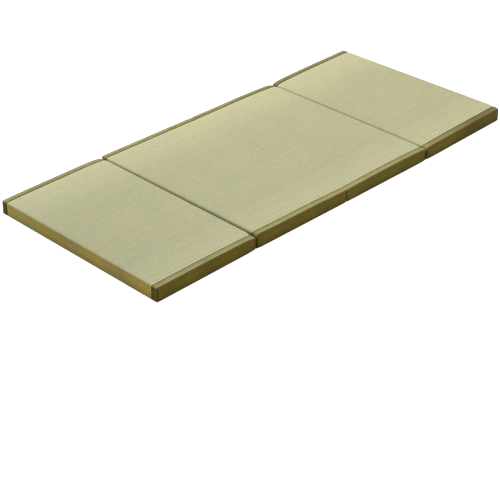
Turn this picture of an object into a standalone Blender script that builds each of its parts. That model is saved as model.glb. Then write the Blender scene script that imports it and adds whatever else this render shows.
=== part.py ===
"""A folding tatami mat, laid open and flat: four padded panels in a row under one woven rush cover.

Panels 1 and 2, and panels 3 and 4, fold about a hinge at the floor, so the cover dips into a groove
between them. Panels 2 and 3 fold about a hinge at the top, so the cover runs straight over their slit.
X runs along the mat from panel 1 to panel 4, Y across it from the near side to the far side, Z up.
The origin is on the floor, under the middle of the mat. All sizes are in metres.
"""

import math

import bmesh
import bpy
from mathutils import Vector

# The mat
LENGTH = 2.0
WIDTH = 0.91
EDGE_HEIGHT = 0.060  # from the floor to the top of the skins, along the panels' edges
PANELS = 4
CROWN = 0.0035  # how far a panel's middle stands above its edges

# The skins over the pads
GAP = 0.0003  # between two touching pieces
RUSH_THICK = 0.002
BINDING_THICK = 0.0024
WALL_THICK = 0.0015
BINDING_WIDTH = 0.030
WALL_DROP = 0.0015  # the side walls' upper edges and ends lie this far below the pads' outline
SEAM_DEPTH = 0.0022  # the rush and the binding sink this far into the seam between them
SEAM_FLAT = 0.0025  # half width of the valley's flat floor
SEAM_REACH = 0.0145  # half width of the whole valley
ROLL_DEPTH = 0.0014  # the binding rolls down this far over the long edges
ROLL_REACH = 0.006
DENT_FOOT, DENT_FULL = 0.0052, 0.020  # valley and roll fade out between these heights
LEAST_TURN_DOWN = 0.2  # share of the binding's turn-down that is left at the foot of a groove

# The panels' ends
GROOVE = 0.002  # open width of the groove between the skins of two panels
SLIT = 0.002  # open width of the slit between pads 2 and 3
SHOULDER = 0.007  # radius of a panel's top edge at its end
SQUARE_SHOULDER = 0.0055  # the same at the slit, under the cover that runs straight over
HEM = 0.0016  # the skins end this far above the floor
TURN_HEIGHT = 0.0052  # centre of the cover's turn at the foot of a groove, above the floor
TURN_STEPS = 4

PANEL_LENGTH = LENGTH / PANELS
HALF_WIDTH = WIDTH / 2
SKIN = GAP + BINDING_THICK
PAD_HEIGHT = EDGE_HEIGHT - SKIN
PAD_HALF = HALF_WIDTH - BINDING_THICK - WALL_THICK - 2 * GAP
LIP_Y = HALF_WIDTH - BINDING_THICK
SEAM_Y = HALF_WIDTH - BINDING_WIDTH
TOP_HINGE = 2  # the slit is after this panel, and every other joint is a groove

# How each panel's ends sink and draw in at their corners. near and far are how far the top sinks at the
# near and the far corner, reach is how far along the mat that goes, and draw_in is in plan.
SETTLED_ENDS = (
    # panel, end, near, far, reach, draw_in
    (1, "start", 0.0010, 0.0010, 0.030, 0.0010),
    (1, "end", 0.0070, 0.0060, 0.065, 0.0030),
    (2, "start", 0.0030, 0.0010, 0.025, 0.0025),
    (2, "end", 0.0005, 0.0005, 0.020, 0.0010),
    (3, "start", 0.0005, 0.0005, 0.020, 0.0010),
    (3, "end", 0.0050, 0.0060, 0.040, 0.0025),
    (4, "start", 0.0040, 0.0040, 0.040, 0.0030),
    (4, "end", 0.0015, 0.0005, 0.030, 0.0025),
)
CORNER_REACH = 0.070  # how far across the mat a corner's sinking goes
END_SAG = 0.0010  # the whole width of a grooved end sinks this far

# How far each panel's hinged ends slump over their whole width, and over which length
SLUMPED_ENDS = (
    # panel, end, depth, reach
    (1, "end", 0.0040, 0.300),
    (2, "start", 0.0020, 0.120),
    (2, "end", 0.0055, 0.300),
    (3, "start", 0.0055, 0.300),
    (3, "end", 0.0015, 0.150),
    (4, "start", 0.0030, 0.200),
)
ROUNDED_EDGE = (4, 0.0040, 0.016)  # this panel's near edge is worn round: panel, depth, reach across the mat
ASKEW_AT, ASKEW = 0.5, 0.009  # the groove at this X runs askew: its far end lies this much further along

# Stations along a panel's top, from its pad's end, and across the mat, from its middle
TOP_STATIONS = (0.025, 0.060, 0.140, 0.250)
RUSH_STATIONS = (0.0, 0.200, 0.350, 0.4105, 0.4165, 0.4225)
BINDING_STATIONS = (0.4275, 0.4335, 0.4390, 0.4445)
SHOULDER_STEPS = 4

# The binding past those stations, where it turns down over the side wall
TURNED_EDGE = (
    # y, turned_down
    (PAD_HALF, 0.0),
    (LIP_Y - 0.0006, 0.0004),
    (LIP_Y, 0.0014),
    (LIP_Y, 0.0036),
)

UP = Vector((0, 0, 1))

OLIVE = (0.17, 0.125, 0.045, 1)
KHAKI = (0.27, 0.24, 0.12, 1)
RUSH = (0.48, 0.47, 0.29, 1)
BASE = (0.14, 0.115, 0.06, 1)


def pad_span(panel):
    """Where a panel's pad starts and ends along X."""
    start = -LENGTH / 2 + (panel - 1) * PANEL_LENGTH
    at_groove, at_slit = GROOVE / 2 + SKIN, SLIT / 2
    first = SKIN if panel == 1 else at_slit if panel == TOP_HINGE + 1 else at_groove
    last = SKIN if panel == PANELS else at_slit if panel == TOP_HINGE else at_groove
    return start + first, start + PANEL_LENGTH - last


def is_square(panel, end):
    return (panel, end) in ((TOP_HINGE, "end"), (TOP_HINGE + 1, "start"))


def shoulder(panel, end):
    """From the foot of a panel's end up round its top edge: (inset from the end, height, normal's angle)."""
    radius = SQUARE_SHOULDER if is_square(panel, end) else SHOULDER
    centre = PAD_HEIGHT - radius
    points = [(0.0, HEM, 0.0)]
    for step in range(SHOULDER_STEPS + 1):
        turn = math.pi / 2 * step / SHOULDER_STEPS
        points.append((radius * (1 - math.cos(turn)), centre + radius * math.sin(turn), turn))
    return points


def outline(panel):
    """The pad's outline over the top, from foot to foot: (x, z, normal x, normal z) for each station."""
    first, last = pad_span(panel)
    up, down = shoulder(panel, "start"), reversed(shoulder(panel, "end"))
    points = [(first + inset, z, -math.cos(a), math.sin(a)) for inset, z, a in up]
    tops = [first + inset for inset in TOP_STATIONS] + [last - inset for inset in TOP_STATIONS[-2::-1]]
    points += [(x, PAD_HEIGHT, 0.0, 1.0) for x in tops]
    points += [(last - inset, z, math.cos(a), math.sin(a)) for inset, z, a in down]
    return points


def over_the_mat():
    """The pads' outlines joined into the one path that the rush cover and the bindings follow."""
    path = []
    whole_shoulder = SHOULDER_STEPS + 2
    for panel in range(1, PANELS + 1):
        points = outline(panel)
        if is_square(panel, "start"):
            points = [(0.0, PAD_HEIGHT, 0.0, 1.0)] + points[whole_shoulder:]
        elif panel > 1:
            points = turn_under(pad_span(panel - 1)[1], pad_span(panel)[0]) + points[1:]
        if is_square(panel, "end"):
            points = points[:-whole_shoulder]
        elif panel < PANELS:
            points = points[:-1]
        path += points
    return path


def turn_under(left, right):
    """The cover's turn at the foot of a groove, between two pads' ends."""
    middle, radius = (left + right) / 2, (right - left) / 2
    points = []
    for step in range(TURN_STEPS + 1):
        turn = math.pi * step / TURN_STEPS
        out_x, out_z = math.cos(turn), math.sin(turn)
        points.append((middle - radius * out_x, TURN_HEIGHT - radius * out_z, out_x, out_z))
    return points


def share(value, low, high):
    """0 up to low, 1 from high on."""
    return min(1.0, max(0.0, (value - low) / (high - low)))


def dent(y, z):
    """How far the pads' surface sinks below their outline: a valley at the seam, a roll at the edge."""
    y = min(abs(y), PAD_HALF)
    valley = (1 + math.cos(math.pi * share(abs(y - SEAM_Y), SEAM_FLAT, SEAM_REACH))) / 2
    roll = share(y, PAD_HALF - ROLL_REACH, PAD_HALF) ** 2
    return (SEAM_DEPTH * valley + ROLL_DEPTH * roll) * share(z, DENT_FOOT, DENT_FULL)


def settle(x, y, z):
    """A point of the straight mat where it lies on the real one: crowned, slumped, sunk at its corners."""
    panel = min(PANELS, max(1, math.floor((x + LENGTH / 2) / PANEL_LENGTH) + 1))
    first, last = pad_span(panel)
    along = share(x, first, last)
    across = share(abs(y), 0.0, PAD_HALF)
    lift = CROWN * (1 - (2 * along - 1) ** 4) * (1 - across**4)
    inward = 0.0
    for row_panel, end, near, far, reach, draw_in in SETTLED_ENDS:
        if row_panel != panel:
            continue
        along_share = share(reach - (x - first if end == "start" else last - x), 0.0, reach) ** 2
        corner_share = share(abs(y), PAD_HALF - CORNER_REACH, PAD_HALF)
        sink = (near if y < 0 else far) * corner_share**2
        sag = 0.0 if is_square(panel, end) else END_SAG
        lift -= (sink + sag * (1 - corner_share)) * along_share
        inward += draw_in * along_share * across**2
    for row_panel, end, depth, reach in SLUMPED_ENDS:
        if row_panel == panel:
            lift -= depth * share(reach - (x - first if end == "start" else last - x), 0.0, reach) ** 2
    rounded_panel, depth, reach = ROUNDED_EDGE
    if panel == rounded_panel and y < 0:
        lift -= depth * share(-y, PAD_HALF - reach, PAD_HALF) ** 2 * share(x - first, 0.0, 0.1)
    askew = ASKEW * (0.5 + y / WIDTH) * max(0.0, 1 - abs(x - ASKEW_AT) / (LENGTH / 2 - ASKEW_AT))
    return x + askew, y - math.copysign(inward, y), z * (1 + lift / PAD_HEIGHT)


def material(name, colour):
    made = bpy.data.materials.new(name)
    made.use_nodes = True
    shader = made.node_tree.nodes["Principled BSDF"]
    shader.inputs["Base Color"].default_value = colour
    shader.inputs["Roughness"].default_value = 0.85
    shader.inputs["Metallic"].default_value = 0.0
    made.diffuse_color = colour
    return made


def add_object(name, bm, finish, collection):
    mesh = bpy.data.meshes.new(name)
    bm.to_mesh(mesh)
    bm.free()
    mesh.materials.append(finish)
    mesh.shade_smooth()
    mesh.set_sharp_from_angle(angle=math.radians(50))
    made = bpy.data.objects.new(name, mesh)
    collection.objects.link(made)
    return made


def split_quads(bm):
    """Cut each quad of a unit grid or box from its low corner to its high one, as the mat's path runs.

    Two pieces that lie on each other then bend along the same lines.
    """
    bm.normal_update()
    for face in list(bm.faces):
        down = face.normal.x > 0.5
        corners = sorted(face.verts, key=lambda v: v.co.x + v.co.y + (-v.co.z if down else v.co.z))
        if len(corners) == 4:
            bmesh.utils.face_split(face, corners[0], corners[-1])


def station(value, count):
    """Which of count stations a unit grid's coordinate is."""
    return round((value + 0.5) * (count - 1))


def grid_to(columns, rows, place):
    """A grid of columns by rows stations, each vertex put where place(column, row) says."""
    bm = bmesh.new()
    bmesh.ops.create_grid(bm, x_segments=columns - 1, y_segments=rows - 1, size=0.5)
    split_quads(bm)
    for vertex in bm.verts:
        vertex.co = place(station(vertex.co.x, columns), station(vertex.co.y, rows))
    return bm


def add_sheet(name, bm, outward, thickness, finish, collection):
    """An open surface given its thickness on the side that faces along outward."""
    bm.normal_update()
    if sum(face.normal.dot(outward) * face.calc_area() for face in bm.faces) < 0:
        bmesh.ops.reverse_faces(bm, faces=bm.faces)
    sheet = add_object(name, bm, finish, collection)
    solid = sheet.modifiers.new("Thickness", "SOLIDIFY")
    solid.thickness = thickness
    solid.offset = 1
    solid.use_even_offset = True


def along_path(name, stations, thickness, finish, collection):
    """A strip of cover GAP off the pads: the path over the mat, at each of its (y, turned_down) stations."""
    path = over_the_mat()

    def place(column, row):
        x, z, normal_x, normal_z = path[column]
        y, turned_down = stations[row]
        off = GAP - dent(y, z) - turned_down * max(LEAST_TURN_DOWN, share(z, DENT_FOOT, DENT_FULL))
        return settle(x + off * normal_x, y, z + off * normal_z)

    add_sheet(name, grid_to(len(path), len(stations), place), UP, thickness, finish, collection)


def add_rush_cover(finish, collection):
    half = RUSH_STATIONS + (SEAM_Y - GAP / 2,)
    stations = [-y for y in reversed(half)] + list(half[1:])
    along_path("rush_cover", [(y, 0.0) for y in stations], RUSH_THICK, finish, collection)


def add_binding(name, side, finish, collection):
    flat = [(y, 0.0) for y in (SEAM_Y + GAP / 2, *BINDING_STATIONS)]
    stations = [(side * y, turned_down) for y, turned_down in (*flat, *TURNED_EDGE)]
    along_path(name, stations[::side], BINDING_THICK, finish, collection)


def add_panel(panel, finish, collection):
    """A pad: a box cut into stations, its top and ends on the outline, its underside flat on the floor."""
    points = outline(panel)
    corner = 1 + SHOULDER_STEPS // 2  # the outline's point halfway round the shoulder is the box's edge
    tops = points[corner:-corner]
    first, last = pad_span(panel)
    half = [*RUSH_STATIONS, *BINDING_STATIONS, PAD_HALF]
    across = [-y for y in reversed(half)] + half[1:]
    columns, rows, levels = len(tops), len(across), corner + 2
    top_level = levels - 1

    bm = bmesh.new()
    bmesh.ops.create_cube(bm, size=1.0)
    for axis, count in enumerate((columns, rows, levels)):
        edges = [e for e in bm.edges if abs((e.verts[0].co - e.verts[1].co)[axis]) > 0.5]
        bmesh.ops.subdivide_edges(bm, edges=edges, cuts=count - 2, use_grid_fill=True)
    bm.normal_update()
    underside = [face for face in bm.faces if face.normal.z < -0.5]
    bmesh.ops.dissolve_faces(bm, faces=underside)
    split_quads(bm)
    for vertex in bm.verts:
        column = station(vertex.co.x, columns)
        row = station(vertex.co.y, rows)
        level = station(vertex.co.z, levels)
        y = across[row]
        x, z, normal_x, normal_z = tops[column]
        off = -dent(y, z)
        if level == 0:
            x = min(max(x, first + HEM), last - HEM)
            y = math.copysign(min(abs(y), PAD_HALF - HEM), y)
            z, off = 0.0, 0.0
        elif level < top_level and column in (0, columns - 1):
            x, z, normal_x, normal_z = points[level - 1] if column == 0 else points[-level]
            off = -dent(y, z)
        elif level < top_level:
            z = HEM + (z - HEM) * (level - 1) / (top_level - 1)
            off *= (level - 1) / (top_level - 1)
        vertex.co = settle(x + off * normal_x, y, z + off * normal_z)
    add_object(f"panel_{panel}", bm, finish, collection)


def add_side_wall(name, panel, side, finish, collection):
    """A strip of cloth over a pad's long side, WALL_DROP inside the pad's outline."""
    points = [
        (x - (dent(PAD_HALF, z) + WALL_DROP) * normal_x, z - (dent(PAD_HALF, z) + WALL_DROP) * normal_z)
        for x, z, normal_x, normal_z in outline(panel)
    ]
    corner = 1 + SHOULDER_STEPS // 2
    tops = points[corner:-corner]
    levels = corner + 1

    def place(column, level):
        x, z = tops[column]
        along = share(x, tops[0][0], tops[-1][0])
        left, right = points[level], points[-1 - level]
        up = (left[1] - HEM) / (tops[0][1] - HEM)
        x = left[0] + (right[0] - left[0]) * along
        return settle(x, side * (PAD_HALF + GAP), HEM + (z - HEM) * up)

    grid = grid_to(len(tops), levels, place)
    add_sheet(name, grid, Vector((0, side, 0)), WALL_THICK, finish, collection)


def build():
    for old in list(bpy.data.objects):
        bpy.data.objects.remove(old, do_unlink=True)
    collection = bpy.data.collections.new("tatami_mat")
    bpy.context.scene.collection.children.link(collection)

    for panel in range(1, PANELS + 1):
        add_panel(panel, material(f"base_cloth_{panel}", BASE), collection)
    add_rush_cover(material("rush", RUSH), collection)
    for side, word in ((-1, "near"), (1, "far")):
        add_binding(f"binding_{word}", side, material(f"binding_{word}", KHAKI), collection)
        for panel in range(1, PANELS + 1):
            name = f"side_wall_{word}_{panel}"
            add_side_wall(name, panel, side, material(name, OLIVE), collection)


build()
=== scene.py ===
"""A folding tatami mat, laid open and flat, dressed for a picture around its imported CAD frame."""

import math

import bmesh
import bpy
from mathutils import Matrix, Vector, noise


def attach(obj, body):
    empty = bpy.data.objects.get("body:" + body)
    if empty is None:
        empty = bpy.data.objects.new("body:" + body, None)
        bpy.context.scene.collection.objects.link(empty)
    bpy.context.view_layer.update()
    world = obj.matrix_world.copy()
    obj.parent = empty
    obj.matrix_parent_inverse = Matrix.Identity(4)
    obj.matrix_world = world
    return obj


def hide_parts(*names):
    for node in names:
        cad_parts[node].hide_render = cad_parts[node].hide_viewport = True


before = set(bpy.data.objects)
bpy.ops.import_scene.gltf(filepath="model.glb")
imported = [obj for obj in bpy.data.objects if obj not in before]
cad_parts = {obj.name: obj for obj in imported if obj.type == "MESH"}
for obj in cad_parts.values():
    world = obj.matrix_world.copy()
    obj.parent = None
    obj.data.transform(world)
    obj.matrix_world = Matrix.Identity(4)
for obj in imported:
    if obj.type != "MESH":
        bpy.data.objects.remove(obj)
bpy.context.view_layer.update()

# ---------------------------------------------------------------------------------------------------
# The four padded panels: a firm filling in a case of plain olive cloth, flat underneath and slightly
# crowned on top. Panels 1-2 and 3-4 are hinged at the floor and panels 2-3 at the top, by the covers
# sewn over them, and each end has settled a little where the mat has been folded.

length, width, edge_height = 2.0, 0.9145, 0.060
panel_count = 4
top_hinge_after = 2
crown = 0.0035
gap = 0.0003
binding_thick, wall_thick, rush_thick = 0.0024, 0.0015, 0.0020
binding_width = 0.0322
groove, slit = 0.002, 0.002
hem = 0.0016
skin = gap + binding_thick
pad_height = edge_height - skin
half_width = width / 2
pad_half = half_width - binding_thick - wall_thick - 2 * gap
lip_y = half_width - binding_thick
seam_y = half_width - binding_width
panel_length = length / panel_count

round_shoulder, square_shoulder = 0.007, 0.0055
shoulder_steps = 6
up_steps = 3  # stations between an end's foot and its rounded top edge
top_insets = (0.012, 0.020, 0.032, 0.050, 0.075, 0.110, 0.155, 0.200)

settled_ends = (
    # panel, end, near, far, reach, draw_in
    (1, "start", 0.0010, 0.0010, 0.030, 0.0010),
    (1, "end", 0.0070, 0.0060, 0.065, 0.0030),
    (2, "start", 0.0030, 0.0010, 0.025, 0.0025),
    (2, "end", 0.0005, 0.0005, 0.020, 0.0010),
    (3, "start", 0.0005, 0.0005, 0.020, 0.0010),
    (3, "end", 0.0050, 0.0060, 0.040, 0.0025),
    (4, "start", 0.0040, 0.0040, 0.040, 0.0030),
    (4, "end", 0.0045, 0.0005, 0.024, 0.0040),
)
slumped_ends = (
    # panel, end, near, far, reach
    (1, "start", -0.0005, 0.0020, 0.450),
    (1, "end", 0.0035, 0.0005, 0.300),
    (2, "start", -0.0030, -0.0010, 0.150),
    (2, "end", 0.0045, 0.0005, 0.300),
    (3, "start", 0.0045, 0.0005, 0.400),
    (3, "end", 0.0035, 0.0045, 0.250),
    (4, "start", 0.0030, 0.0045, 0.200),
    (4, "end", -0.0015, 0.0000, 0.450),
)
rounded_panel, rounded_depth, rounded_reach = 4, 0.0025, 0.020
joint_shifts = (
    # along the mat at the near edge, at the far edge, and across it
    (0.0010, -0.0015, -0.0030),
    (0.0038, 0.0038, 0.0010),
    (0.0000, 0.0000, -0.0020),
    (-0.0065, 0.0020, -0.0035),
    (0.0070, 0.0050, 0.0070),
)
slit_bulge, slit_bow = 0.0007, 0.0020  # how far the ends at the slit bulge together, and wander along the mat


def share(value, low, high):
    return min(1.0, max(0.0, (value - low) / (high - low)))


def eased(value, low, high):
    part = share(value, low, high)
    return part * part * (3 - 2 * part)


def pad_span(panel):
    start = -length / 2 + (panel - 1) * panel_length
    at_groove, at_slit = groove / 2 + skin, slit / 2
    first = skin if panel == 1 else at_slit if panel == top_hinge_after + 1 else at_groove
    last = skin if panel == panel_count else at_slit if panel == top_hinge_after else at_groove
    return start + first, start + panel_length - last


def is_square(panel, end):
    return (panel, end) in ((top_hinge_after, "end"), (top_hinge_after + 1, "start"))


def pad_end(panel, end):
    """From the foot of a panel's end up round its top edge: (inset, height, angle of the normal)."""
    radius = square_shoulder if is_square(panel, end) else round_shoulder
    centre = pad_height - radius
    inset = -slit_bulge if is_square(panel, end) else 0.0
    points = [(inset, hem + (centre - hem) * step / (up_steps + 1), 0.0) for step in range(up_steps + 1)]
    for step in range(shoulder_steps + 1):
        turn = math.pi / 2 * step / shoulder_steps
        points.append((radius * (1 - math.cos(turn)), centre + radius * math.sin(turn), turn))
    return points


def pad_outline(panel):
    """A panel's outline from foot to foot over its top: (x, z, normal x, normal z)."""
    first, last = pad_span(panel)
    up, down = pad_end(panel, "start"), reversed(pad_end(panel, "end"))
    points = [(first + inset, z, -math.cos(turn), math.sin(turn)) for inset, z, turn in up]
    tops = [first + inset for inset in top_insets] + [(first + last) / 2]
    tops += [last - inset for inset in reversed(top_insets)]
    points += [(x, pad_height, 0.0, 1.0) for x in tops]
    points += [(last - inset, z, math.cos(turn), math.sin(turn)) for inset, z, turn in down]
    return points


def dent(y, z):
    """The pads sink below their outline: a valley under the binding's seam, a roll at the long edge."""
    y = min(abs(y), pad_half)
    valley = (1 + math.cos(math.pi * share(abs(y - seam_y), 0.0025, 0.0145))) / 2
    roll = share(y, pad_half - 0.006, pad_half) ** 2
    return (0.0022 * valley + 0.0014 * roll) * share(z, 0.0052, 0.020)


def unevenness(x, y):
    """The filling's slow, shallow waves, in metres."""
    slow = noise.noise(Vector((x * 3.1 + 4.0, y * 4.3, 0.7)))
    quick = noise.noise(Vector((x * 9.0, y * 11.0 + 2.0, 3.1)))
    return 0.0009 * slow + 0.0004 * quick


def settle(x, y, z):
    """A point of the straight mat where it lies on the real one: crowned, uneven, sunk at its corners."""
    panel = min(panel_count, max(1, math.floor((x + length / 2) / panel_length) + 1))
    first, last = pad_span(panel)
    along, across = share(x, first, last), share(abs(y), 0.0, pad_half)
    lift = crown * (1 - (2 * along - 1) ** 4) * (1 - across**4)
    lift += unevenness(x, y) * (1 - 0.6 * across**6)
    inward = 0.0
    for row_panel, end, near, far, reach, draw_in in settled_ends:
        if row_panel != panel:
            continue
        along_share = share(reach - (x - first if end == "start" else last - x), 0.0, reach) ** 2
        corner_share = share(abs(y), pad_half - 0.070, pad_half)
        sink = (near if y < 0 else far) * corner_share**2
        sag = 0.0 if is_square(panel, end) else 0.0010
        lift -= (sink + sag * (1 - corner_share)) * along_share
        inward += draw_in * along_share * across**2
    for row_panel, end, near, far, reach in slumped_ends:
        if row_panel == panel:
            depth = near + (far - near) * share(y, -pad_half, pad_half)
            lift -= depth * share(reach - (x - first if end == "start" else last - x), 0.0, reach) ** 2
    if panel == rounded_panel and y < 0:
        corner_highlight = share(-y, pad_half - rounded_reach, pad_half) ** 2
        lift -= rounded_depth * corner_highlight * share(x - first, 0.0, 0.1)
    to_next = (x + length / 2) / panel_length - (panel - 1)
    near, far, sideways = (a + (b - a) * to_next for a, b in zip(*joint_shifts[panel - 1 : panel + 1]))
    askew = near + (far - near) * (0.5 + y / width)
    askew += slit_bow * math.sin(14.0 * y) * share(0.1 - abs(x), 0.0, 0.1)
    return x + askew, y - math.copysign(inward, y) + sideways, z * (1 + lift / pad_height)


def station(value, count):
    """Which of count stations a unit grid's or box's coordinate is."""
    return round((value + 0.5) * (count - 1))


def step(tree, kind, inputs=(), **settings):
    """A shader node with its settings and its inputs, which are values or other nodes' outputs."""
    made = tree.nodes.new("ShaderNode" + kind)
    for name, value in settings.items():
        setattr(made, name, value)
    for name, value in dict(inputs).items():
        if isinstance(value, bpy.types.NodeSocket):
            tree.links.new(value, made.inputs[name])
        else:
            made.inputs[name].default_value = value
    return made


def sums(tree, operation, first, second=0.0):
    """One step of arithmetic."""
    return step(tree, "Math", {0: first, 1: second}, operation=operation).outputs[0]


def blended(tree, amount, first, second, blend_type="MIX"):
    """Two colours mixed by amount."""
    made = step(tree, "Mix", {0: amount, 6: first, 7: second}, data_type="RGBA", blend_type=blend_type)
    return made.outputs[2]


def blended_value(tree, amount, first, second):
    """Two values mixed by amount."""
    return step(tree, "Mix", {0: amount, 2: first, 3: second}, data_type="FLOAT").outputs[0]


def ranged(tree, value, low, high, to_low=0.0, to_high=1.0):
    """A value moved from one range to another, and kept inside it."""
    inputs = {"Value": value, "From Min": low, "From Max": high, "To Min": to_low, "To Max": to_high}
    return step(tree, "MapRange", inputs, clamp=True).outputs["Result"]


def cloth(name, dark, light, pitch, on_uv=True, rise=0.35, sheen=0.12):
    """Plain woven cloth: threads over and under each other, slubs, and slow changes of tone."""
    made = bpy.data.materials.new(name)
    made.use_nodes = True
    tree = made.node_tree
    shader = tree.nodes["Principled BSDF"]
    if on_uv:
        place = step(tree, "UVMap", uv_map="cloth").outputs["UV"]
    else:
        place = step(tree, "TexCoord").outputs["Object"]
    solid_place = step(tree, "TexCoord").outputs["Object"]
    parts = step(tree, "SeparateXYZ", {0: place})
    threads = []
    for axis in ("X", "Y"):
        turns = sums(tree, "MULTIPLY", parts.outputs[axis], math.pi / pitch)
        threads.append(sums(tree, "ABSOLUTE", sums(tree, "SINE", turns)))
    squares = step(tree, "TexChecker", {"Vector": place, "Scale": 1 / pitch})
    over = blended_value(tree, squares.outputs["Fac"], threads[0], threads[1])
    slubs = step(
        tree, "TexNoise", {"Vector": place, "Scale": 420.0, "Detail": 2.0, "Roughness": 0.6}
    ).outputs["Fac"]
    slow = step(
        tree, "TexNoise", {"Vector": solid_place, "Scale": 9.0, "Detail": 3.0, "Roughness": 0.55}
    ).outputs["Fac"]
    tone = sums(tree, "MULTIPLY_ADD", over, 0.30)
    tone.node.inputs[2].default_value = 0.18
    tone = sums(tree, "ADD", tone, sums(tree, "MULTIPLY", slubs, 0.28))
    tone = sums(tree, "ADD", tone, ranged(tree, slow, 0.3, 0.7, -0.16, 0.20))
    colour = blended(tree, tone, dark, light)
    tree.links.new(colour, shader.inputs["Base Color"])
    height = sums(tree, "ADD", sums(tree, "MULTIPLY", over, 0.7), sums(tree, "MULTIPLY", slubs, 0.5))
    bump = step(tree, "Bump", {"Height": height, "Strength": rise, "Distance": 0.0004})
    tree.links.new(bump.outputs["Normal"], shader.inputs["Normal"])
    tree.links.new(ranged(tree, slubs, 0.2, 0.8, 0.82, 0.94), shader.inputs["Roughness"])
    shader.inputs["Sheen Weight"].default_value = sheen
    shader.inputs["Sheen Roughness"].default_value = 0.5
    shader.inputs["Specular IOR Level"].default_value = 0.1
    return made, tree, colour


def new_piece(name, bm, finish, sharp=40):
    """An object at the origin from a finished bmesh, with its finish."""
    mesh = bpy.data.meshes.new(name)
    bm.to_mesh(mesh)
    bm.free()
    mesh.materials.append(finish)
    mesh.shade_smooth()
    mesh.set_sharp_from_angle(angle=math.radians(sharp))
    made = bpy.data.objects.new(name, mesh)
    bpy.context.scene.collection.objects.link(made)
    return made


base_cloth, _, _ = cloth(
    "plain_olive_case_cloth", (0.022, 0.016, 0.005, 1), (0.080, 0.062, 0.024, 1), 0.0011, on_uv=False, sheen=0.0
)

rush_rows = (0.0, 0.070, 0.140, 0.210, 0.280, 0.350, 0.385, 0.4105, 0.4165, 0.4225)
binding_rows = (0.4275, 0.4335, 0.4390, 0.4445, 0.4475, 0.4500)

for panel in range(1, panel_count + 1):
    outline = pad_outline(panel)
    corner = up_steps + 1 + shoulder_steps // 2  # the outline's point halfway round is the box's edge
    tops = outline[corner:-corner]
    first, last = pad_span(panel)
    half = [*rush_rows, *binding_rows, pad_half]
    across = [-y for y in reversed(half)] + half[1:]
    columns, rows, levels = len(tops), len(across), corner + 2
    top_level = levels - 1

    pad = bmesh.new()
    bmesh.ops.create_cube(pad, size=1.0)
    for axis, count in enumerate((columns, rows, levels)):
        edges = [e for e in pad.edges if abs((e.verts[0].co - e.verts[1].co)[axis]) > 0.5]
        bmesh.ops.subdivide_edges(pad, edges=edges, cuts=count - 2, use_grid_fill=True)
    for vertex in pad.verts:
        column, row = station(vertex.co.x, columns), station(vertex.co.y, rows)
        level = station(vertex.co.z, levels)
        y = across[row]
        x, z, normal_x, normal_z = tops[column]
        off = -dent(y, z)
        if level == 0:
            x = min(max(x, first + hem), last - hem)
            y = math.copysign(min(abs(y), pad_half - hem), y)
            z, off = 0.0, 0.0
        elif level < top_level and column in (0, columns - 1):
            x, z, normal_x, normal_z = outline[level - 1] if column == 0 else outline[-level]
            off = -dent(y, z)
        elif level < top_level:
            z = hem + (z - hem) * (level - 1) / (top_level - 1)
            off *= (level - 1) / (top_level - 1)
        vertex.co = settle(x + off * normal_x, y, z + off * normal_z)
    bmesh.ops.recalc_face_normals(pad, faces=pad.faces)
    padded = new_piece(f"padded_panel_{panel}", pad, base_cloth)
    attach(padded, "root")
    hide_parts(f"panel_{panel}")

# ---------------------------------------------------------------------------------------------------
# The rush cover: one sheet of woven rush over all four panels. Pairs of cotton warps run along the
# mat, and the rushes hump up between them into fine ribs. It goes down the two outer end faces and
# into the two grooves, and straight over the slit between panels 2 and 3.

rib_count = 106
rib_pitch = 2 * seam_y / rib_count
rib_height = 0.00055
rib_profile = (0.0, 0.9, 0.9)
turn_height, turn_steps = 0.0052, 6
foot = 0.0003


def turn_under(left, right):
    """The cover's turn at the foot of a groove, between two pads' ends."""
    middle, radius = (left + right) / 2, (right - left) / 2
    points = []
    for count in range(turn_steps + 1):
        turn = math.pi * count / turn_steps
        out_x, out_z = math.cos(turn), math.sin(turn)
        points.append((middle - radius * out_x, turn_height - radius * out_z, out_x, out_z))
    return points


def over_the_mat():
    """The one path over all the pads that the rush cover and the bindings follow."""
    path = []
    whole_end = up_steps + 1 + shoulder_steps + 1
    for panel in range(1, panel_count + 1):
        points = pad_outline(panel)
        if is_square(panel, "start"):
            points = [(0.0, pad_height, 0.0, 1.0)] + points[whole_end:]
        elif panel > 1:
            points = turn_under(pad_span(panel - 1)[1], pad_span(panel)[0]) + points[1:]
        if is_square(panel, "end"):
            points = points[:-whole_end]
        elif panel < panel_count:
            points = points[:-1]
        path += points
    for end in (0, -1):
        path[end] = (path[end][0], foot, *path[end][2:])
    return path


path = over_the_mat()
walked = [0.0]
for before, after in zip(path, path[1:]):
    walked.append(walked[-1] + math.hypot(after[0] - before[0], after[1] - before[1]))
developed_length = walked[-1]
crease_at = pad_height - foot  # how far up a cover its crease lies
groove_feet = [
    walked[at] for at in range(1, len(path) - 1) if path[at][1] < min(path[at - 1][1], path[at + 1][1])
]


def in_groove(tree, along, low, high):
    """How far down in one of the two grooves a cover is, by the distance walked from the groove's foot."""
    distances = [sums(tree, "ABSOLUTE", sums(tree, "SUBTRACT", along, groove_foot)) for groove_foot in groove_feet]
    return ranged(tree, sums(tree, "MINIMUM", *distances), high, low)


def on_end_face(tree, along):
    """How far down an outer end face a cover is, by the distance walked from the nearer end."""
    from_end = sums(tree, "MINIMUM", along, sums(tree, "SUBTRACT", developed_length, along))
    return ranged(tree, from_end, crease_at + 0.0005, crease_at - 0.0045)


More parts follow.
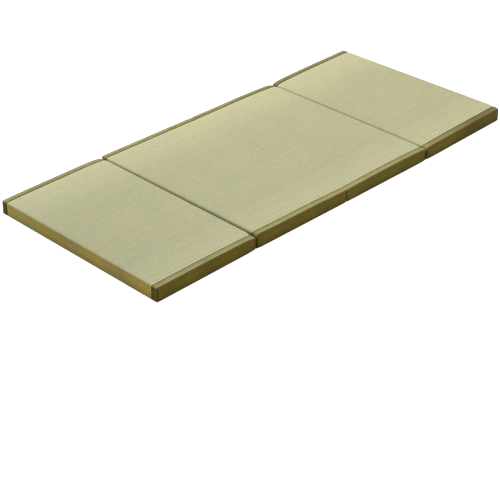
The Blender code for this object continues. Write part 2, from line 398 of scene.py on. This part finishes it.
def laid_strip(columns, rows, place, cloth_place):
    """A grid of stations, each put where place says, with a UV map of its cloth in metres."""
    strip = bmesh.new()
    uv = strip.loops.layers.uv.new("cloth")
    bmesh.ops.create_grid(strip, x_segments=columns - 1, y_segments=rows - 1, size=0.5)
    for vertex in strip.verts:
        column, row = station(vertex.co.x, columns), station(vertex.co.y, rows)
        for loop in vertex.link_loops:
            loop[uv].uv = cloth_place(column, row)
        vertex.co = place(column, row)
    return strip


def sewn_sheet(name, strip, outward, thickness, finish):
    """A strip as a piece of cloth of its real thickness, on the side that faces along outward."""
    strip.normal_update()
    if sum(face.normal.dot(outward) * face.calc_area() for face in strip.faces) < 0:
        bmesh.ops.reverse_faces(strip, faces=strip.faces)
    sheet = new_piece(name, strip, finish, sharp=60)
    solid = sheet.modifiers.new("thickness", "SOLIDIFY")
    solid.thickness = thickness
    solid.offset = 1
    solid.use_even_offset = True
    return sheet


rush = bpy.data.materials.new("woven_rush")
rush.use_nodes = True
tree = rush.node_tree
shader = tree.nodes["Principled BSDF"]
place = step(tree, "UVMap", uv_map="cloth").outputs["UV"]
parts = step(tree, "SeparateXYZ", {0: place})
along, across = parts.outputs["X"], parts.outputs["Y"]
body = step(tree, "TexCoord").outputs["Object"]
height_up = step(tree, "SeparateXYZ", {0: body}).outputs["Z"]

# each rib is a row of rushes, set half a rush on from the row beside it
rib = sums(tree, "DIVIDE", sums(tree, "ADD", across, seam_y), rib_pitch)
rib_number = sums(tree, "FLOOR", rib)
in_rib = sums(tree, "FRACT", rib)
odd = sums(tree, "MODULO", rib_number, 2.0)
wander = step(tree, "TexNoise", {"Vector": place, "Scale": 60.0, "Detail": 1.0}).outputs["Fac"]
rush_turns = sums(tree, "DIVIDE", along, 0.0016)
rush_turns = sums(tree, "ADD", rush_turns, sums(tree, "MULTIPLY", odd, 0.5))
rush_turns = sums(tree, "ADD", rush_turns, sums(tree, "MULTIPLY", wander, 0.9))
rush_number = sums(tree, "FLOOR", rush_turns)
rush_round = sums(tree, "SINE", sums(tree, "MULTIPLY", sums(tree, "FRACT", rush_turns), math.pi))
rib_round = sums(tree, "SINE", sums(tree, "MULTIPLY", in_rib, math.pi))

one_rush = step(tree, "CombineXYZ", {"X": rush_number, "Y": rib_number})
rush_tone = step(tree, "TexWhiteNoise", {"Vector": one_rush.outputs[0]}, noise_dimensions="3D").outputs["Value"]
rib_tone = step(tree, "TexWhiteNoise", {"W": rib_number}, noise_dimensions="1D").outputs["Value"]
patches = step(
    tree, "TexNoise", {"Vector": place, "Scale": 5.5, "Detail": 4.0, "Roughness": 0.6, "Distortion": 0.6}
).outputs["Fac"]
flecks = step(
    tree, "TexNoise", {"Vector": place, "Scale": 38.0, "Detail": 3.0, "Roughness": 0.65}
).outputs["Fac"]

green, straw = (0.252, 0.250, 0.146, 1), (0.269, 0.256, 0.146, 1)
straw_share = sums(tree, "ADD", patches, sums(tree, "MULTIPLY", along, 0.08))
tops_colour = blended(tree, ranged(tree, straw_share, 0.42, 0.74), green, straw)
# painted shade: the rush down the two end faces is coloured a darker gold and olive
gold, olive = (0.200, 0.152, 0.011, 1), (0.154, 0.121, 0.016, 1)
end_face_shade_colour = blended(tree, ranged(tree, patches, 0.38, 0.62), olive, gold)
on_end = on_end_face(tree, along)
colour = blended(tree, on_end, tops_colour, end_face_shade_colour)

# the tone of single rushes and ribs, darker in the lines between the ribs: painted shade in the gaps, deepest on the
# end faces
tone = ranged(tree, rush_tone, 0.0, 1.0, 0.895, 1.09)
tone = sums(tree, "MULTIPLY", tone, ranged(tree, rib_tone, 0.0, 1.0, 0.97, 1.03))
tone = sums(tree, "MULTIPLY", tone, ranged(tree, flecks, 0.3, 0.7, 0.97, 1.03))
gap_shade_depth = ranged(tree, on_end, 0.0, 1.0, 0.92, 0.62)
in_line = ranged(tree, rib_round, 0.0, 0.55)
rib_gap_shade = sums(tree, "ADD", gap_shade_depth, sums(tree, "MULTIPLY", in_line, sums(tree, "SUBTRACT", 1.0, gap_shade_depth)))
tone = sums(tree, "MULTIPLY", tone, rib_gap_shade)
# painted light and shade: a painted highlight on the rush beside the seams, painted light towards the far edge and a
# little towards the near one, painted shade at the foot and lower down the end faces
seam_rim_highlight = ranged(tree, sums(tree, "ABSOLUTE", across), seam_y - 0.010, seam_y - 0.005, 1.0, 1.22)
far_painted_light = ranged(tree, across, 0.19, 0.41, 1.0, 1.22)
near_painted_light = ranged(tree, across, -0.26, -0.415, 1.0, 1.11)
foot_shade = ranged(tree, height_up, 0.002, 0.006, 0.55, 1.0)
low_shade = ranged(tree, height_up, 0.006, 0.028, 0.80, 1.0)
for part_tone in (seam_rim_highlight, far_painted_light, near_painted_light, foot_shade, low_shade):
    tone = sums(tree, "MULTIPLY", tone, part_tone)
# painted shade down in the two grooves
tone = sums(tree, "MULTIPLY", tone, ranged(tree, in_groove(tree, along, 0.040, 0.054), 0.0, 1.0, 1.0, 0.70))
grey = step(tree, "CombineXYZ", {"X": tone, "Y": tone, "Z": tone}).outputs[0]
colour = blended(tree, 1.0, colour, grey, "MULTIPLY")
tree.links.new(colour, shader.inputs["Base Color"])
height = sums(tree, "MULTIPLY", rush_round, rib_round)
bump = step(tree, "Bump", {"Height": height, "Strength": 0.35, "Distance": 0.0005})
tree.links.new(bump.outputs["Normal"], shader.inputs["Normal"])
tree.links.new(ranged(tree, rush_tone, 0.0, 1.0, 0.58, 0.78), shader.inputs["Roughness"])
shader.inputs["Specular IOR Level"].default_value = 0.2
shader.inputs["Sheen Weight"].default_value = 0.02

rib_steps = len(rib_profile)
rush_half = seam_y - gap / 2
rush_across = [-rush_half + 2 * rush_half * row / (rib_count * rib_steps) for row in range(rib_count * rib_steps + 1)]


def place_rush(column, row):
    x, z, normal_x, normal_z = path[column]
    y = rush_across[row]
    rise = rib_height * rib_profile[row % rib_steps]
    off = gap - dent(y, z) + rise * share(z, 0.006, 0.012)
    return settle(x + off * normal_x, y, z + off * normal_z)


strip = laid_strip(len(path), len(rush_across), place_rush, lambda column, row: (walked[column], rush_across[row]))
woven_rush = sewn_sheet("woven_rush_cover", strip, Vector((0, 0, 1)), rush_thick - rib_height, rush)
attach(woven_rush, "root")
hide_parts("rush_cover")

# ---------------------------------------------------------------------------------------------------
# The two bindings: strips of tightly woven khaki cotton, sewn over the raw long edges of the rush
# with a turned-in edge. Each follows the rush over the top, down the end faces and through the
# grooves, and turns down over the upper edge of the side walls.

turned_edge = (
    # y, turned_down
    (pad_half - 0.0012, 0.0),
    (pad_half, 0.0),
    (lip_y - 0.0012, 0.0001),
    (lip_y - 0.0005, 0.0004),
    (lip_y - 0.0001, 0.0009),
    (lip_y, 0.0014),
    (lip_y, 0.0025),
    (lip_y, 0.0036),
)
binding_flat = tuple(
    (seam_y + inset, 0.0)
    for inset in (gap / 2, 0.0008, 0.0017, 0.0030, 0.0050, 0.0075, 0.0100, 0.0130, 0.0160, 0.0195, 0.0230)
)
binding_stations = binding_flat + turned_edge
across_cloth = [0.0]
for before, after in zip(binding_stations, binding_stations[1:]):
    across_cloth.append(across_cloth[-1] + math.hypot(after[0] - before[0], after[1] - before[1]))


fold_at = pad_half - seam_y - 0.0015  # across the cloth, where it starts to round over the wall
binding_ply = binding_thick - 0.0004
seam_rise = 0.0007  # how far the turned-in edge stands up beside the seam


def binding_cloth_material(name):
    """Khaki cotton, with painted shade down in the seam, on the turned-down edge, down the end faces, at the foot, in
    the grooves and where the light falls off, and a painted highlight along the rounded edge and at the corner fold.
    """
    made, tree, colour = cloth(name, (0.100, 0.088, 0.032, 1), (0.262, 0.232, 0.098, 1), 0.0009, sheen=0.03)
    shader = tree.nodes["Principled BSDF"]
    place = step(tree, "UVMap", uv_map="cloth").outputs["UV"]
    across = step(tree, "SeparateXYZ", {0: place}).outputs["Y"]
    body = step(tree, "TexCoord").outputs["Object"]
    height_up = step(tree, "SeparateXYZ", {0: body}).outputs["Z"]
    # painted shade down in the seam, and a painted highlight along the rounded outer edge
    in_seam = ranged(tree, across, 0.0042, 0.0095, 0.58, 1.0)
    rim_highlight = ranged(tree, across, 0.018, 0.025, 1.0, 1.32)
    tone = sums(tree, "MULTIPLY", in_seam, rim_highlight)
    grey = step(tree, "CombineXYZ", {"X": tone, "Y": tone, "Z": tone}).outputs[0]
    colour = blended(tree, 1.0, colour, grey, "MULTIPLY")
    # painted shade on the edge where it turns down over the wall
    folded = ranged(tree, across, fold_at, fold_at + 0.0009)
    colour = blended(tree, folded, colour, blended(tree, 1.0, colour, (0.34, 0.30, 0.15, 1), "MULTIPLY"))
    # painted shade darkens the strips down the end faces, but for a painted highlight on the fold at the corner
    along = step(tree, "SeparateXYZ", {0: place}).outputs["X"]
    on_end = on_end_face(tree, along)
    corner_highlight = sums(tree, "MULTIPLY", folded, ranged(tree, across, fold_at + 0.0028, fold_at + 0.0020))
    end_strip_shade_and_highlight = blended(tree, corner_highlight, (0.30, 0.21, 0.01, 1), (1.5, 1.3, 0.5, 1))
    colour = blended(tree, on_end, colour, blended(tree, 1.0, colour, end_strip_shade_and_highlight, "MULTIPLY"))
    # painted shade at the foot
    foot_shade = ranged(tree, height_up, 0.002, 0.006, 0.6, 1.0)
    grey = step(tree, "CombineXYZ", {"X": foot_shade, "Y": foot_shade, "Z": foot_shade}).outputs[0]
    colour = blended(tree, 1.0, colour, grey, "MULTIPLY")
    # painted shade down in the grooves
    groove_shade = in_groove(tree, along, 0.040, 0.054)
    colour = blended(tree, groove_shade, colour, blended(tree, 1.0, colour, (0.45, 0.38, 0.22, 1), "MULTIPLY"))
    # painted shade where the light falls off: the last panel's near strip is darker, and the far strip too, most of
    # all painted shade in its seam
    places = step(tree, "SeparateXYZ", {0: body})
    body_x = places.outputs["X"]
    falloff_shade = sums(tree, "ADD", ranged(tree, body_x, 0.50, 0.54, 0.0, 0.42), ranged(tree, body_x, 0.62, 0.86, 0.0, 0.36))
    falloff_shade = sums(tree, "MULTIPLY", falloff_shade, ranged(tree, places.outputs["Y"], 0.0, -0.1))
    falloff_shade = sums(tree, "MULTIPLY", falloff_shade, ranged(tree, folded, 0.0, 1.0, 1.0, 0.5))
    colour = blended(tree, falloff_shade, colour, blended(tree, 1.0, colour, (0.45, 0.39, 0.26, 1), "MULTIPLY"))
    far_seam_and_falloff_shade = ranged(tree, across, 0.003, 0.009, 0.45, 0.0)
    far_seam_and_falloff_shade = sums(tree, "ADD", far_seam_and_falloff_shade, ranged(tree, body_x, -0.2, 0.6, 0.0, 0.5))
    far_seam_and_falloff_shade = sums(tree, "MULTIPLY", far_seam_and_falloff_shade, ranged(tree, places.outputs["Y"], 0.0, 0.1))
    far_seam_and_falloff_shade = sums(tree, "MULTIPLY", far_seam_and_falloff_shade, ranged(tree, on_end, 0.0, 1.0, 1.0, 0.0))
    colour = blended(tree, far_seam_and_falloff_shade, colour, blended(tree, 1.0, colour, (0.62, 0.62, 0.52, 1), "MULTIPLY"))
    tree.links.new(colour, shader.inputs["Base Color"])
    return made


binding_cloth = binding_cloth_material("khaki_binding_cotton")


def puckered(walked_to, across_to):
    """Small puckers that the seam's stitches draw into the binding, in metres."""
    near_seam = 1 - eased(across_to, 0.002, 0.014)
    waves = noise.noise(Vector((walked_to * 95.0, across_to * 60.0, 5.0)))
    slow = noise.noise(Vector((walked_to * 21.0, across_to * 40.0, 9.0)))
    return 0.00035 * waves * near_seam + 0.00035 * slow


for side, word in ((-1, "near"), (1, "far")):

    def place_binding(column, row, side=side):
        x, z, normal_x, normal_z = path[column]
        y, turned_down = binding_stations[row]
        in_seam = share(across_cloth[row], 0.0, 0.0012)
        rise = seam_rise * in_seam * (1 - eased(across_cloth[row], 0.0035, 0.0100))
        rise += puckered(walked[column] + 7 * side, across_cloth[row]) * in_seam
        off = gap - dent(y, z) + rise * share(z, 0.006, 0.014)
        off -= turned_down * max(0.2, share(z, 0.0052, 0.020))
        return settle(x + off * normal_x, side * y, z + off * normal_z)

    strip = laid_strip(
        len(path),
        len(binding_stations),
        place_binding,
        lambda column, row: (walked[column], across_cloth[row]),
    )
    binding = sewn_sheet(f"cotton_binding_{word}", strip, Vector((0, 0, 1)), binding_ply, binding_cloth)
    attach(binding, "root")
    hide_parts(f"binding_{word}")

# ---------------------------------------------------------------------------------------------------
# The seam stitches of the bindings: a row of thick thread beside each turned-in edge, every stitch a
# short length of twisted cotton sunk into the cloth.

stitch_length, stitch_pitch, stitch_radius = 0.0032, 0.0045, 0.00032
thread, tree, colour = cloth(
    "khaki_thread", (0.09, 0.078, 0.030, 1), (0.22, 0.19, 0.085, 1), 0.0005, on_uv=False, sheen=0.0
)
places = step(tree, "SeparateXYZ", {0: step(tree, "TexCoord").outputs["Object"]})
# painted shade on the stitches down the end faces
thread_end_shade = ranged(tree, sums(tree, "ABSOLUTE", places.outputs["X"]), length / 2 - 0.012, length / 2 - 0.004)
colour = blended(tree, thread_end_shade, colour, blended(tree, 1.0, colour, (0.30, 0.23, 0.08, 1), "MULTIPLY"))
tree.links.new(colour, tree.nodes["Principled BSDF"].inputs["Base Color"])


def stitched(name, spots, finish):
    """One mesh of stitches: spots are (place, along, outward) for each."""
    seam = bmesh.new()
    size = Matrix.Diagonal((stitch_length / 2, stitch_radius, stitch_radius, 1))
    lying = Matrix.Rotation(math.pi / 2, 4, "Y")
    bmesh.ops.create_uvsphere(seam, u_segments=6, v_segments=4, radius=1.0, matrix=size @ lying)
    for count, many in ((32, 1), (math.ceil(len(spots) / 32), 32)):
        bmesh.ops.spin(
            seam,
            geom=seam.faces[:],
            cent=(0, 0, 0),
            axis=(0, 0, 1),
            dvec=(stitch_pitch * many, 0, 0),
            angle=0.0,
            steps=count - 1,
            use_duplicate=True,
        )
    spare = [vertex for vertex in seam.verts if round(vertex.co.x / stitch_pitch) >= len(spots)]
    bmesh.ops.delete(seam, geom=spare, context="VERTS")
    for vertex in seam.verts:
        number = round(vertex.co.x / stitch_pitch)
        spot, along, outward = spots[number]
        vertex.co = (
            spot
            + along * (vertex.co.x - number * stitch_pitch)
            + outward.cross(along) * vertex.co.y
            + outward * vertex.co.z
        )
    return new_piece(name, seam, finish, sharp=80)


stitch_row = 3  # the binding's row of stations that the stitches lie on
stitch_y, stitch_across = binding_stations[stitch_row][0], across_cloth[stitch_row]

for side, word in ((-1, "near"), (1, "far")):
    line = []
    for (x, z, normal_x, normal_z), distance in zip(path, walked):
        rise = seam_rise + puckered(distance + 7 * side, stitch_across)
        off = gap - dent(stitch_y, z) + rise * share(z, 0.006, 0.014) + binding_ply
        line.append(Vector(settle(x + off * normal_x, side * stitch_y, z + off * normal_z)))
    spots = []
    for number in range(2, int(developed_length / stitch_pitch) - 2):
        distance = number * stitch_pitch
        at = max(count for count in range(len(walked) - 1) if walked[count] <= distance)
        part = (distance - walked[at]) / (walked[at + 1] - walked[at])
        spot = line[at].lerp(line[at + 1], part)
        if spot.z > 0.012:
            forward = (line[at + 1] - line[at]).normalized()
            outward = forward.cross(Vector((0, 1, 0)) * side).normalized()
            spots.append((spot, forward, outward))
    seam = stitched(f"binding_stitches_{word}", spots, thread)
    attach(seam, "root")

# ---------------------------------------------------------------------------------------------------
# The eight side walls: a strip of the same cotton in a deeper olive along each panel's two long
# sides, its upper edge sewn under the binding and its lower one turned under the case. They belly
# out a little between their seams.

wall_levels = 13
wall_drop, wall_foot = 0.0015, 0.0004  # below the pad's outline at the top, and above the floor
wall_belly, wall_waver = 0.0021, 0.0006


def wall_cloth_material(name):
    """Olive cotton, with painted shade at the foot, lower down, beside the slit and towards the last panel, and
    darker at the mat's corners.
    """
    made, tree, colour = cloth(
        name, (0.037, 0.027, 0.0024, 1), (0.113, 0.085, 0.0095, 1), 0.0009, rise=0.3, sheen=0.0
    )
    shader = tree.nodes["Principled BSDF"]
    body = step(tree, "TexCoord").outputs["Object"]
    places = step(tree, "SeparateXYZ", {0: body})
    body_x, height_up = places.outputs["X"], places.outputs["Z"]
    warm = step(tree, "TexNoise", {"Vector": body, "Scale": 26.0, "Detail": 2.0}).outputs["Fac"]
    colour = blended(tree, ranged(tree, warm, 0.5, 0.75, 0.0, 0.5), colour, (0.085, 0.052, 0.005, 1))
    cloth_along = step(tree, "SeparateXYZ", {0: step(tree, "UVMap", uv_map="cloth").outputs["UV"]}).outputs["X"]
    from_middle = sums(tree, "ABSOLUTE", cloth_along)
    # painted shade at the foot and lower down, towards the last panel and beside the slit; the last few millimetres
    # at the mat's corners are darker too
    tone = ranged(tree, height_up, 0.002, 0.007, 0.45, 1.0)
    for part_tone in (
        ranged(tree, height_up, 0.006, 0.030, 0.80, 1.06),
        ranged(tree, body_x, 0.52, 0.80, 1.0, 0.80),
        ranged(tree, from_middle, 0.0020, 0.0040, 0.55, 1.0),
        ranged(tree, from_middle, length / 2 - 0.0070, length / 2 - 0.0045, 1.0, 0.70),
    ):
        tone = sums(tree, "MULTIPLY", tone, part_tone)
    grey = step(tree, "CombineXYZ", {"X": tone, "Y": tone, "Z": tone}).outputs[0]
    colour = blended(tree, 1.0, colour, grey, "MULTIPLY")
    tree.links.new(colour, shader.inputs["Base Color"])
    return made


wall_cloth = wall_cloth_material("olive_wall_cotton")

for side, word in ((-1, "near"), (1, "far")):
    for panel in range(1, panel_count + 1):
        outline = [
            (x - (dent(pad_half, z) + wall_drop) * normal_x, z - (dent(pad_half, z) + wall_drop) * normal_z)
            for x, z, normal_x, normal_z in pad_outline(panel)
        ]
        corner = up_steps + 1 + shoulder_steps // 2
        tops = outline[corner:-corner]
        first, last = pad_span(panel)
        edge_levels = corner + 1

        def place_wall(column, level, side=side, tops=tops, outline=outline, first=first, last=last):
            x, z = tops[column]
            along = share(x, tops[0][0], tops[-1][0])
            low = level / (wall_levels - 1) * (edge_levels - 1)
            index = min(int(low), edge_levels - 2)
            part = low - index
            edges = []
            for a, b in ((outline[index], outline[index + 1]), (outline[-1 - index], outline[-2 - index])):
                edges.append((a[0] + (b[0] - a[0]) * part, a[1] + (b[1] - a[1]) * part))
            up = (edges[0][1] - hem) / (tops[0][1] - hem)
            x = edges[0][0] + (edges[1][0] - edges[0][0]) * along
            bulge = share(up, -0.20, 0.05) * share(1 - up, 0.0, 0.30) * share(min(x - first, last - x), -0.012, 0.012)
            belly = bulge * (wall_belly + wall_waver * noise.noise(Vector((x * 16.0, up * 1.5, 11.0 * side))))
            return settle(x, side * (pad_half + gap + max(0.0, belly)), wall_foot + (z - wall_foot) * up)

        strip = laid_strip(
            len(tops), wall_levels, place_wall, lambda column, level, tops=tops: (tops[column][0], 0.0048 * level)
        )
        wall = sewn_sheet(f"cotton_wall_{word}_{panel}", strip, Vector((0, side, 0)), wall_thick, wall_cloth)
        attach(wall, "root")
        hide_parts(f"side_wall_{word}_{panel}")

# ---------------------------------------------------------------------------------------------------
# The studio: a plain pale floor that glows like a light table, a wide soft light overhead and a
# little behind, and a weak even fill.

ground = bmesh.new()
bmesh.ops.create_grid(ground, x_segments=1, y_segments=1, size=14.0)
floor_paint = bpy.data.materials.new("pale_floor")
floor_paint.use_nodes = True
for socket, value in (
    ("Base Color", (0.85, 0.85, 0.85, 1)),
    ("Roughness", 0.9),
    ("Specular IOR Level", 0.0),
    ("Emission Color", (1, 1, 1, 1)),
    ("Emission Strength", 0.6),
):
    floor_paint.node_tree.nodes["Principled BSDF"].inputs[socket].default_value = value
floor = new_piece("studio_floor", ground, floor_paint)


def soft_light(name, place, aim, size, power):
    """A square area light that points at aim."""
    lamp = bpy.data.lights.new(name, "AREA")
    lamp.shape = "SQUARE"
    lamp.size = size
    lamp.energy = power
    made = bpy.data.objects.new(name, lamp)
    made.location = place
    made.rotation_euler = (Vector(aim) - Vector(place)).to_track_quat("-Z", "Y").to_euler()
    bpy.context.scene.collection.objects.link(made)


soft_light("overhead", (0.6, 0.8, 4.0), (0, 0, 0), 5.0, 330)
world = bpy.data.worlds.new("studio_air")
bpy.context.scene.world = world
world.use_nodes = True
world.node_tree.nodes["Background"].inputs["Color"].default_value = (1, 1, 1, 1)
world.node_tree.nodes["Background"].inputs["Strength"].default_value = 0.6

# ---------------------------------------------------------------------------------------------------
# The camera: a long lens from the front left, about 32 degrees above the floor.

azimuth, elevation, roll = math.radians(-44.276), math.radians(31.630), math.radians(-0.825)
target, distance = Vector((-0.5200, -0.4412, 0.0)), 5.2502
back = Vector(
    (math.sin(azimuth) * math.cos(elevation), -math.cos(azimuth) * math.cos(elevation), math.sin(elevation))
)
right = (-back).cross(Vector((0, 0, 1))).normalized()
upward = right.cross(-back)
tilted_x = math.cos(roll) * right + math.sin(roll) * upward
tilted_y = -math.sin(roll) * right + math.cos(roll) * upward
lens = bpy.data.cameras.new("camera")
lens.lens = 1403.5 * 36 / 500
camera = bpy.data.objects.new("camera", lens)
camera.matrix_world = Matrix.Translation(target + distance * back) @ Matrix(
    (tilted_x, tilted_y, back)
).transposed().to_4x4()
bpy.context.scene.collection.objects.link(camera)
bpy.context.scene.camera = camera
bpy.context.scene.view_settings.view_transform = "Standard"
